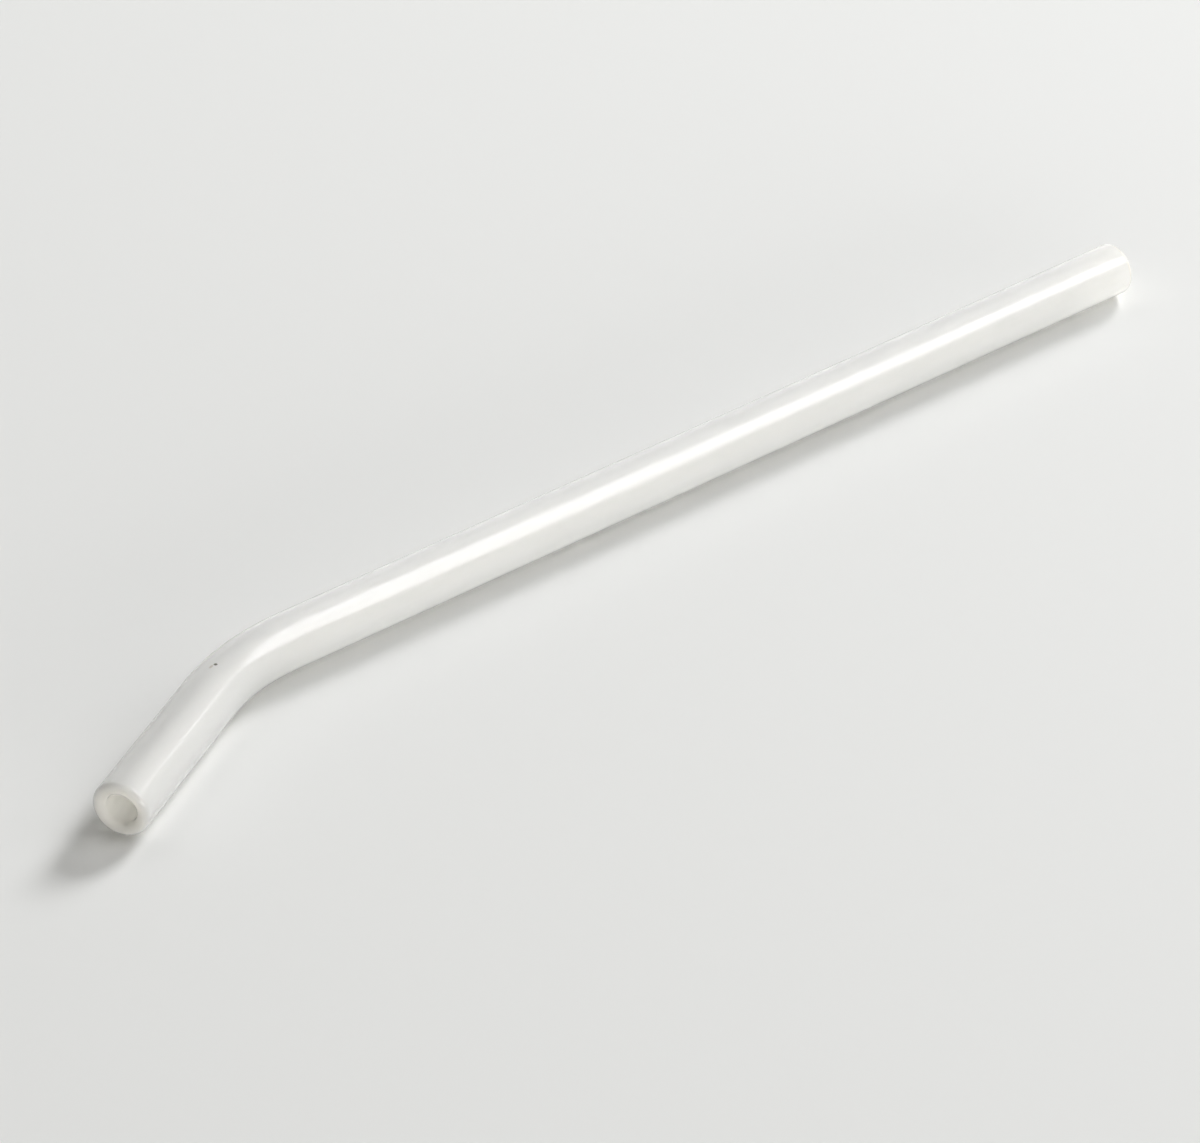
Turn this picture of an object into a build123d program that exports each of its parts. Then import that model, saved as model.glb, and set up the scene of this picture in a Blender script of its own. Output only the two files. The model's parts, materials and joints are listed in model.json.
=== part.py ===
from build123d import *
import math
import os

# A bent glass drinking straw. It is one length of thick tube, closed nowhere, lying flat as on a table.
# The long stem runs along +X, and the short drinking arm turns off it towards -Y.
# Sizes are in millimetres and degrees.

outer_diameter = 8.0
wall_thickness = 1.8
straw_length = 200.0  # along the middle of the tube, from mouth to mouth
drinking_arm_length = 26.5  # from the drinking mouth to where the bend starts
bend_radius = 33.0  # of the middle of the tube
bend_angle = 29.0

outer_radius = outer_diameter / 2
bore_radius = outer_radius - wall_thickness
lip_radius = wall_thickness / 2  # the flame rounds each mouth across its whole wall
bend_length = bend_radius * math.radians(bend_angle)
stem_length = straw_length - bend_length - drinking_arm_length


def tube_section():
    """The cut across the wall: a ring that stands in the YZ plane."""
    return Plane.YZ * (Circle(outer_radius) - Circle(bore_radius))


def straight_arm(length):
    """A straight run along X from the bend, which meets it flat, to a mouth with a fully rounded lip."""
    lip_start = length - lip_radius
    outline = (
        Line((0, bore_radius), (lip_start, bore_radius))
        + ThreePointArc(
            (lip_start, bore_radius),
            (length, bore_radius + lip_radius),
            (lip_start, outer_radius),
        )
        + Line((lip_start, outer_radius), (0, outer_radius))
        + Line((0, outer_radius), (0, bore_radius))
    )
    half_section = make_face(Plane.XZ * outline)
    return revolve(half_section, Axis.X)


def bend():
    """The curved run, swept about an upright axis on the inside of the bend."""
    bend_axis = Axis((0, -bend_radius, 0), (0, 0, 1))
    return revolve(tube_section(), bend_axis, bend_angle)


def drinking_arm():
    """The short arm, turned to carry on from the far end of the bend."""
    turn = math.radians(bend_angle)
    bend_end = Pos(-bend_radius * math.sin(turn), bend_radius * (math.cos(turn) - 1), 0)
    heading = Rot(0, 0, 180 + bend_angle)
    return bend_end * heading * straight_arm(drinking_arm_length)


def straw():
    """The whole tube as one solid, lying on Z = 0 with the middle of its outline over the origin."""
    tube = straight_arm(stem_length) + bend() + drinking_arm()
    box = tube.bounding_box()
    return Pos(-box.center().X, -box.center().Y, -box.min.Z) * tube


os.makedirs("parts", exist_ok=True)
export_step(straw(), "parts/straw_tube.step")
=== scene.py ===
import json
import math

import bmesh
import bpy
from mathutils import Matrix, Vector


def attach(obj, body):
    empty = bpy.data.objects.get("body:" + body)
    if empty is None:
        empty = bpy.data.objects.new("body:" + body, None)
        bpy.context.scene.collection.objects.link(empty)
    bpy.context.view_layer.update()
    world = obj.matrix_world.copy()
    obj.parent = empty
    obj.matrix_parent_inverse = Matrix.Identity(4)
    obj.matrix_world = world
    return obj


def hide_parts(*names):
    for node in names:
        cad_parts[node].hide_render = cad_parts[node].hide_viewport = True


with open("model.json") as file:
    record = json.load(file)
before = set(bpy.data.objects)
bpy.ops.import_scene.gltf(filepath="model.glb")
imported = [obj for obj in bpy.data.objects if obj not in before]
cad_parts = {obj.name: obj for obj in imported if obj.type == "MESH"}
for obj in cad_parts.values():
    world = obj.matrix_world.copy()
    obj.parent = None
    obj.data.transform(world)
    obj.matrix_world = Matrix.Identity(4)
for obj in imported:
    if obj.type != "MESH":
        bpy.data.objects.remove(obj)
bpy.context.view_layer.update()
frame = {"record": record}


# The straw is one length of thick opal glass tube, drawn to a stock size and bent once over a flame.
# The middle line runs down the straight stem, round the bend and along the drinking arm. Its two
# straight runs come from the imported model's mounts, and the bend is the arc that joins them smoothly.
MM = 0.001
mounts = {mount["name"]: mount for mount in frame["record"]["mounts"]}
outer_radius = mounts["stem_outside"]["dims"]["r_mm"] * MM
bore_radius = mounts["stem_bore"]["dims"]["r_mm"] * MM
wall = outer_radius - bore_radius
lip_radius = wall / 2


def run_ends(mount):
    """Where a straight run leaves the bend and where its lip starts, with the way that it points."""
    middle = Vector(mount["pos_m"])
    heading = Vector(mount["axis"]).normalized()
    half_run = heading * mount["dims"]["length_mm"] * MM / 2
    return middle - half_run, middle + half_run, heading


stem_foot, stem_end, stem_heading = run_ends(mounts["stem_outside"])
arm_foot, arm_end, arm_heading = run_ends(mounts["drinking_arm_outside"])
stem_length = (stem_end - stem_foot).length
arm_length = (arm_end - arm_foot).length
bend_turn = stem_heading.angle(-arm_heading)
bend_radius = (arm_foot - stem_foot).length / (2 * math.sin(bend_turn / 2))
bend_side = stem_heading.cross(Vector((0, 0, 1)))
bend_middle = stem_foot + bend_side * bend_radius
bend_length = bend_radius * bend_turn
bend_end = stem_length + bend_length
line_length = bend_end + arm_length


def middle_line(along):
    """The point on the middle line at a distance from the stem's lip, and the line's direction there."""
    if along <= stem_length:
        return stem_end - stem_heading * along, -stem_heading
    if along >= bend_end:
        return arm_foot + arm_heading * (along - stem_length - bend_length), arm_heading.copy()
    turned = Matrix.Rotation((along - stem_length) / bend_radius, 3, "Z")
    return bend_middle + turned @ (stem_foot - bend_middle), turned @ -stem_heading


# The skin of the tube is one closed sheet: down the outside, round the drinking lip, back up the bore
# and round the stem's lip. Hot glass is never quite true, so the outside wanders inward by a few
# hundredths of a millimetre, and the bend is pinched a little across its plane.
ROUND_STEPS = 112
RUN_STEP = 2.0 * MM
BEND_STEPS = 40
LIP_STEPS = 18
WANDER = 0.03 * MM
PINCH = 0.02
# Each wave of the wander: the length of tube to one radian, the times it goes round, and its start.
WAVES = ((17 * MM, 2, 0.0), (29 * MM, -1, 1.3), (11 * MM, 3, 0.7))


def stations():
    """Distances along the middle line for one pass of the skin, closer together round the bend."""
    places = []
    for start, length in ((0, stem_length), (bend_end, arm_length)):
        count = math.ceil(length / RUN_STEP)
        places += [start + length * step / count for step in range(count + 1)]
    places += [stem_length + bend_length * step / BEND_STEPS for step in range(1, BEND_STEPS)]
    return sorted(places)


def skin_rings():
    """(distance along the middle line, radius) of each ring of the skin, in order round the loop."""
    rings = [(along, outer_radius) for along in stations()]
    lip_middle = outer_radius - lip_radius
    for step in range(1, LIP_STEPS):
        turn = math.pi * step / LIP_STEPS
        rings.append((line_length + lip_radius * math.sin(turn), lip_middle + lip_radius * math.cos(turn)))
    rings += [(along, bore_radius) for along in reversed(stations())]
    for step in range(1, LIP_STEPS):
        turn = math.pi * step / LIP_STEPS
        rings.append((-lip_radius * math.sin(turn), lip_middle - lip_radius * math.cos(turn)))
    return rings


def bend_share(along):
    """0 on the straight runs, rising smoothly to 1 in the middle of the bend."""
    place = (along - stem_length) / bend_length
    return math.sin(math.pi * place) ** 2 if 0 < place < 1 else 0.0


def wander(along, turn):
    """How far the outside falls short of a true cylinder, from 0 to 1, as slow waves down the tube."""
    waves = sum(math.sin(along / length + rounds * turn + start) for length, rounds, start in WAVES)
    return 0.5 + waves / (2 * len(WAVES))


def skin_point(along, radius, turn):
    """A point of the skin. The angle turn is 0 on the side that faces the inside of the bend."""
    held = min(max(along, 0), line_length)
    middle, heading = middle_line(held)
    middle = middle + heading * (along - held)
    side = heading.cross(Vector((0, 0, -1)))
    reach = radius - WANDER * wander(along, turn) * radius / outer_radius
    across = reach * (1 - PINCH * bend_share(along))
    return middle + side * across * math.cos(turn) + Vector((0, 0, reach * math.sin(turn)))


# The map called wrap holds, in metres, how far round the outside and how far along the skin a point is.
mesh = bpy.data.meshes.new("straw_skin")
skin = bmesh.new()
wrap = skin.loops.layers.uv.new("wrap")
rings = skin_rings()
turns = [math.tau * step / ROUND_STEPS for step in range(ROUND_STEPS)]
ring_points = []
for along, radius in rings:
    ring_points.append([skin.verts.new(skin_point(along, radius, turn)) for turn in turns])
travelled = [0.0]
for (along, radius), (next_along, next_radius) in zip(rings, rings[1:] + rings[:1]):
    travelled.append(travelled[-1] + math.hypot(next_along - along, next_radius - radius))
for row, points in enumerate(ring_points):
    following = ring_points[(row + 1) % len(ring_points)]
    for step in range(ROUND_STEPS):
        after = (step + 1) % ROUND_STEPS
        face = skin.faces.new((points[step], following[step], following[after], points[after]))
        face.smooth = True
        corners = ((step, row), (step, row + 1), (step + 1, row + 1), (step + 1, row))
        for corner, (around, gone) in zip(face.loops, corners):
            corner[wrap].uv = (math.tau * outer_radius * around / ROUND_STEPS, travelled[gone])
bmesh.ops.recalc_face_normals(skin, faces=skin.faces)
skin.to_mesh(mesh)
skin.free()
straw = bpy.data.objects.new("straw_glass", mesh)
bpy.context.scene.collection.objects.link(straw)
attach(straw, "root")
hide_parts("straw_tube")


# Opal glass lets light through but scatters it, so it looks like milk, under a clear fired skin that
# mirrors the lamps sharply. Drawing the tube leaves faint lengthways lines and soft clouds in the milk.
def new_group(name, inputs, outputs):
    """An empty node group with those sockets, then its input node and its output node."""
    group = bpy.data.node_groups.new(name, "ShaderNodeTree")
    for side, sockets in (("INPUT", inputs), ("OUTPUT", outputs)):
        for socket, kind in sockets:
            group.interface.new_socket(socket, in_out=side, socket_type=kind)
    return group, group.nodes.new("NodeGroupInput"), group.nodes.new("NodeGroupOutput")


def maths(tree, operation, first, second=0.0):
    """A Math node; each of first and second is a number or an output to link."""
    result = tree.nodes.new("ShaderNodeMath")
    result.operation = operation
    for socket, value in zip(result.inputs, (first, second)):
        if isinstance(value, (int, float)):
            socket.default_value = value
        else:
            tree.links.new(value, socket)
    return result.outputs["Value"]


# Lines and clouds are noise on a ring, so that they meet again after one turn round the tube. Round
# Detail is the ring's radius in grains of noise, and Length Detail is the grains to a metre of skin.
drawn, given, result = new_group(
    "drawn_glass",
    (
        ("Wrap", "NodeSocketVector"),
        ("Round Detail", "NodeSocketFloat"),
        ("Length Detail", "NodeSocketFloat"),
    ),
    (("Mask", "NodeSocketFloat"),),
)
parts = drawn.nodes.new("ShaderNodeSeparateXYZ")
drawn.links.new(given.outputs["Wrap"], parts.inputs["Vector"])
turn = maths(drawn, "DIVIDE", parts.outputs["X"], outer_radius)
ring_x = maths(drawn, "MULTIPLY", maths(drawn, "COSINE", turn), given.outputs["Round Detail"])
ring_y = maths(drawn, "MULTIPLY", maths(drawn, "SINE", turn), given.outputs["Round Detail"])
ring_z = maths(drawn, "MULTIPLY", parts.outputs["Y"], given.outputs["Length Detail"])
ring = drawn.nodes.new("ShaderNodeCombineXYZ")
drawn.links.new(ring_x, ring.inputs["X"])
drawn.links.new(ring_y, ring.inputs["Y"])
drawn.links.new(ring_z, ring.inputs["Z"])
grain = drawn.nodes.new("ShaderNodeTexNoise")
grain.inputs["Scale"].default_value = 1.0
grain.inputs["Detail"].default_value = 3.0
drawn.links.new(ring.outputs["Vector"], grain.inputs["Vector"])
spread = drawn.nodes.new("ShaderNodeMapRange")
spread.inputs["From Min"].default_value = 0.3
spread.inputs["From Max"].default_value = 0.7
drawn.links.new(grain.outputs["Fac"], spread.inputs["Value"])
drawn.links.new(spread.outputs["Result"], result.inputs["Mask"])

# A spot is an uneven ellipse on the skin, with a soft edge.
SPOT_UNEVENNESS = 0.6
spot, given, result = new_group(
    "skin_spot",
    (
        ("Wrap", "NodeSocketVector"),
        ("Centre", "NodeSocketVector"),
        ("Half Size", "NodeSocketVector"),
    ),
    (("Mask", "NodeSocketFloat"),),
)
offset = spot.nodes.new("ShaderNodeVectorMath")
offset.operation = "SUBTRACT"
spot.links.new(given.outputs["Wrap"], offset.inputs[0])
spot.links.new(given.outputs["Centre"], offset.inputs[1])
scaled = spot.nodes.new("ShaderNodeVectorMath")
scaled.operation = "DIVIDE"
spot.links.new(offset.outputs["Vector"], scaled.inputs[0])
spot.links.new(given.outputs["Half Size"], scaled.inputs[1])
distance = spot.nodes.new("ShaderNodeVectorMath")
distance.operation = "LENGTH"
spot.links.new(scaled.outputs["Vector"], distance.inputs[0])
ragged = spot.nodes.new("ShaderNodeTexNoise")
ragged.inputs["Scale"].default_value = 1.7
spot.links.new(scaled.outputs["Vector"], ragged.inputs["Vector"])
unevenness = maths(spot, "MULTIPLY", ragged.outputs["Fac"], SPOT_UNEVENNESS)
edge = spot.nodes.new("ShaderNodeMapRange")
edge.interpolation_type = "SMOOTHSTEP"
edge.inputs["From Min"].default_value = 0.9
edge.inputs["From Max"].default_value = 1.35
edge.inputs["To Min"].default_value = 1.0
edge.inputs["To Max"].default_value = 0.0
spot.links.new(maths(spot, "ADD", distance.outputs["Value"], unevenness), edge.inputs["Value"])
spot.links.new(edge.outputs["Result"], result.inputs["Mask"])

# Half of the light that enters passes through, and the rest is scattered back white.
opal = bpy.data.materials.new("opal_glass")
opal.use_nodes = True
tree = opal.node_tree
nodes, links = tree.nodes, tree.links
shader = nodes["Principled BSDF"]
shader.inputs["IOR"].default_value = 1.45
shader.inputs["Transmission Weight"].default_value = 0.5
shader.inputs["Coat Weight"].default_value = 1.0
shader.inputs["Coat Roughness"].default_value = 0.04
wrap_map = nodes.new("ShaderNodeUVMap")
wrap_map.uv_map = "wrap"
wrap_parts = nodes.new("ShaderNodeSeparateXYZ")
links.new(wrap_map.outputs["UV"], wrap_parts.inputs["Vector"])


def skin_mask(group, settings):
    """One use of a node group on the skin, with its other inputs set by their names."""
    used = nodes.new("ShaderNodeGroup")
    used.node_tree = group
    links.new(wrap_map.outputs["UV"], used.inputs["Wrap"])
    for socket, value in settings.items():
        used.inputs[socket].default_value = value
    return used.outputs["Mask"]


def along_skin(start, end):
    """A mask that rises smoothly from 0 to 1 between two distances along the skin."""
    rise = nodes.new("ShaderNodeMapRange")
    rise.interpolation_type = "SMOOTHSTEP"
    rise.inputs["From Min"].default_value = start
    rise.inputs["From Max"].default_value = end
    links.new(wrap_parts.outputs["Y"], rise.inputs["Value"])
    return rise.outputs["Result"]


def tinted(under, mask, colour):
    """The colour under it, changed towards another colour where the mask is 1."""
    mix = nodes.new("ShaderNodeMix")
    mix.data_type = "RGBA"
    links.new(mask, mix.inputs["Factor"])
    if isinstance(under, tuple):
        mix.inputs["A"].default_value = under
    else:
        links.new(under, mix.inputs["A"])
    mix.inputs["B"].default_value = colour
    return mix.outputs["Result"]


# The milk is mostly even: the lines and clouds in it are only a shade darker and warmer.
CLEAR_MILK = (1.0, 1.0, 0.995, 1)
DRAWN_MILK = (0.980, 0.980, 0.968, 1)
LINE_SHARE = 0.55
CLOUD_SHARE = 0.45
lines = skin_mask(drawn, {"Round Detail": 11.0, "Length Detail": 35.0})
clouds = skin_mask(drawn, {"Round Detail": 2.5, "Length Detail": 190.0})
line_part = maths(tree, "MULTIPLY", lines, LINE_SHARE)
cloud_part = maths(tree, "MULTIPLY", clouds, CLOUD_SHARE)
milk = maths(tree, "ADD", line_part, cloud_part)
body = tinted(CLEAR_MILK, milk, DRAWN_MILK)

# The bend and the drinking arm are painted greyer than the stem, as painted shade: they catch less of
# the lamps' light. The lip and the bore are painted warmer, standing in for light that has crossed the
# wall more than once, and the lip is also painted darker, as painted shade.
ARM_PAINTED_SHADE = (0.870, 0.870, 0.860, 1)
LIP_PAINTED_SHADE_AND_WARMTH = (0.905, 0.88, 0.825, 1)
BORE_PAINTED_WARMTH = (1.0, 0.98, 0.925, 1)
arm_shade_start = stem_length - 8 * MM
past_crest = line_length + 2 * lip_radius
inside_bore = line_length + 5 * lip_radius
# Painted shade: the bend and the drinking arm are darkened where they catch less of the lamps' light.
body = tinted(body, along_skin(arm_shade_start, bend_end), ARM_PAINTED_SHADE)
# Painted shade and painted warm light: the whole lip is darkened and warmed.
body = tinted(body, along_skin(line_length, past_crest), LIP_PAINTED_SHADE_AND_WARMTH)
# Painted warm light: the bore is warmed, standing in for light that has crossed the wall.
body = tinted(body, along_skin(past_crest, inside_bore), BORE_PAINTED_WARMTH)

# One dark speck, stuck to the top of the bend, has a faint brown smear beside it.
SPECK_DARK = (0.09, 0.09, 0.07, 1)
SMEAR_BROWN = (0.32, 0.22, 0.13, 1)
SMEAR_STRENGTH = 0.45
speck = skin_mask(spot, {"Centre": (6.31 * MM, 170.27 * MM, 0), "Half Size": (0.32 * MM, 0.28 * MM, 1)})
smear = skin_mask(spot, {"Centre": (6.60 * MM, 170.95 * MM, 0), "Half Size": (0.22 * MM, 0.50 * MM, 1)})
body = tinted(body, maths(tree, "MULTIPLY", smear, SMEAR_STRENGTH), SMEAR_BROWN)
body = tinted(body, speck, SPECK_DARK)
links.new(body, shader.inputs["Base Color"])

# Under its clear skin the milk is matt, and most so in the clouds.
milk_roughness = nodes.new("ShaderNodeMapRange")
milk_roughness.inputs["To Min"].default_value = 0.9
milk_roughness.inputs["To Max"].default_value = 1.0
links.new(clouds, milk_roughness.inputs["Value"])
links.new(milk_roughness.outputs["Result"], shader.inputs["Roughness"])

# The lines and clouds also leave a ripple in the skin, a few thousandths of a millimetre high.
RIPPLE_HEIGHT = 0.0025 * MM
ripple = nodes.new("ShaderNodeBump")
ripple.inputs["Strength"].default_value = 1.0
ripple.inputs["Distance"].default_value = RIPPLE_HEIGHT
links.new(milk, ripple.inputs["Height"])
links.new(ripple.outputs["Normal"], shader.inputs["Normal"])
mesh.materials.append(opal)


# The floor is plain, pale and matt, and far wider than the picture, so that its edges never show. It
# lies at height 0, where the straw rests on it.
FLOOR_SIZE = 6.0
FLOOR_COLOUR = (0.82, 0.82, 0.80, 1)
half = FLOOR_SIZE / 2
floor_corners = [(-half, -half, 0), (half, -half, 0), (half, half, 0), (-half, half, 0)]
floor_mesh = bpy.data.meshes.new("floor")
floor_mesh.from_pydata(floor_corners, [], [(0, 1, 2, 3)])
floor = bpy.data.objects.new("floor", floor_mesh)
bpy.context.scene.collection.objects.link(floor)
matt = bpy.data.materials.new("pale_floor")
matt.use_nodes = True
matt_shader = matt.node_tree.nodes["Principled BSDF"]
matt_shader.inputs["Base Color"].default_value = FLOOR_COLOUR
matt_shader.inputs["Roughness"].default_value = 0.9
matt_shader.inputs["Specular IOR Level"].default_value = 0.0
floor_mesh.materials.append(matt)


# The light is that of a pale studio. A soft box high on the right lights that side of the tube, a lamp
# behind on the right throws the shadow forward, and white cards fill the front and the left. Three more
# show only in the gloss: the bright band along the stem, the light upper edge and the line on the arm.
WALL_STRENGTH = 0.35
OVERHEAD_STRENGTH = 0.0
STUDIO_TINT = (1.0, 0.97, 0.88, 1)
world = bpy.data.worlds.new("pale_room")
bpy.context.scene.world = world
world.use_nodes = True
nodes, links = world.node_tree.nodes, world.node_tree.links
direction = nodes.new("ShaderNodeTexCoord")
heights = nodes.new("ShaderNodeSeparateXYZ")
walls = nodes.new("ShaderNodeMapRange")
walls.inputs["To Min"].default_value = WALL_STRENGTH
walls.inputs["To Max"].default_value = OVERHEAD_STRENGTH
links.new(direction.outputs["Generated"], heights.inputs["Vector"])
links.new(heights.outputs["Z"], walls.inputs["Value"])
links.new(walls.outputs["Result"], nodes["Background"].inputs["Strength"])
nodes["Background"].inputs["Color"].default_value = STUDIO_TINT

CAMERA_TURN = math.radians(39.971)
CAMERA_RISE = math.radians(33.5)


def seen_from_camera(right, away, up):
    """A direction given as right, away and up for someone behind the camera."""
    ground_right = Vector((math.cos(CAMERA_TURN), -math.sin(CAMERA_TURN), 0))
    ground_away = Vector((math.sin(CAMERA_TURN), math.cos(CAMERA_TURN), 0))
    return (ground_right * right + ground_away * away + Vector((0, 0, up))).normalized()


def toward(around, rise):
    """A direction from the straw, in degrees round from straight away to the right, and up."""
    around, rise = math.radians(around), math.radians(rise)
    level = math.cos(rise)
    return seen_from_camera(math.sin(around) * level, math.cos(around) * level, math.sin(rise))


def level_across(facing):
    """The level direction square to facing."""
    return facing.cross(Vector((0, 0, 1))).normalized()


def soft_box(name, facing, across, place, size, watts, colour):
    """A flat soft box at that place that shines back along facing, with its first size along across."""
    data = bpy.data.lights.new(name, "AREA")
    data.shape = "RECTANGLE"
    data.size, data.size_y = size
    data.energy = watts
    data.color = colour
    lamp = bpy.data.objects.new(name, data)
    bpy.context.scene.collection.objects.link(lamp)
    lamp.location = place
    upward = facing.cross(across)
    lamp.matrix_world = Matrix.Translation(place) @ Matrix((across, upward, facing)).transposed().to_4x4()
    return lamp


def show_in_gloss_only(lamp):
    """Keeps a lamp's mirror image in the gloss, and nothing else of its light."""
    lamp.visible_diffuse = False
    lamp.visible_transmission = False


# The soft box and the gleam stand at different distances, because lamps in one plane hide each other.
BOX_DISTANCE = 1.2
GLEAM_DISTANCE = 1.1
right = toward(90, 48.5)
right_across = seen_from_camera(0, 1, 0)
right_upward = right.cross(right_across)


def right_place(distance, away, lowered):
    """A place out on the right of the bend, moved away and down by those shares of its distance."""
    return stem_foot + (right + right_across * away - right_upward * lowered) * distance


right_light = soft_box(
    "soft_box_right", right, right_across, right_place(BOX_DISTANCE, away=0.055, lowered=0.045),
    size=(0.73, 0.97), watts=4.7, colour=(0.965, 0.975, 1.0),
)
right_light.visible_glossy = False
gleam = soft_box(
    "soft_box_gleam", right, right_across, right_place(GLEAM_DISTANCE, away=0.055, lowered=0.005),
    size=(0.67, 0.81), watts=7.6, colour=(0.97, 0.96, 1.0),
)
show_in_gloss_only(gleam)

BACK_DISTANCE = 2.6
behind = toward(36, 31)
back_light = soft_box(
    "light_behind", behind, level_across(behind), behind * BACK_DISTANCE,
    size=(0.80, 0.80), watts=62.0, colour=(0.97, 0.98, 1.0),
)
back_light.visible_glossy = False

CARD_DISTANCE = 1.5
WHITE = (1, 1, 1)


def white_card(name, facing, size, watts):
    """A card of white light that faces the straw, with its first size level."""
    return soft_box(name, facing, level_across(facing), facing * CARD_DISTANCE, size, watts, WHITE)


white_card("front_fill", toward(180, 10), size=(1.8, 0.45), watts=2.4)
white_card("front_right_fill", toward(150, 6), size=(1.8, 0.38), watts=10.6)
left_light = white_card("left_fill", toward(-40, 50), size=(1.2, 0.75), watts=4.0)
left_light.visible_glossy = False
upper_edge_card = white_card("far_left_card", toward(-20, 10), size=(2.0, 0.8), watts=2.8)
show_in_gloss_only(upper_edge_card)

# A thin strip of light runs the same way as the drinking arm, and its image is the fine line on the arm.
streak_side = toward(58, 26.5)
streak_across = (arm_heading - streak_side * streak_side.dot(arm_heading)).normalized()
streak = soft_box(
    "arm_streak", streak_side, streak_across, arm_foot + streak_side * CARD_DISTANCE,
    size=(0.34, 0.15), watts=0.40, colour=WHITE,
)
show_in_gloss_only(streak)


# The camera looks down over the stem from the drinking end, through a long lens. It aims a little
# nearer and further left than the straw's middle.
AIM = Vector((-0.0154, -0.0058, 0.004))
DISTANCE = 0.600
LENS = 131.78
SENSOR = 36.0
back = seen_from_camera(0, -math.cos(CAMERA_RISE), math.sin(CAMERA_RISE))
camera_data = bpy.data.cameras.new("camera")
camera_data.lens = LENS
camera_data.sensor_width = SENSOR
camera_data.clip_start = 0.05
camera_data.clip_end = 20
camera = bpy.data.objects.new("camera", camera_data)
bpy.context.scene.collection.objects.link(camera)
camera.location = AIM + back * DISTANCE
camera.rotation_mode = "QUATERNION"
camera.rotation_quaternion = back.to_track_quat("Z", "Y")
bpy.context.scene.camera = camera
bpy.context.scene.view_settings.view_transform = "Standard"
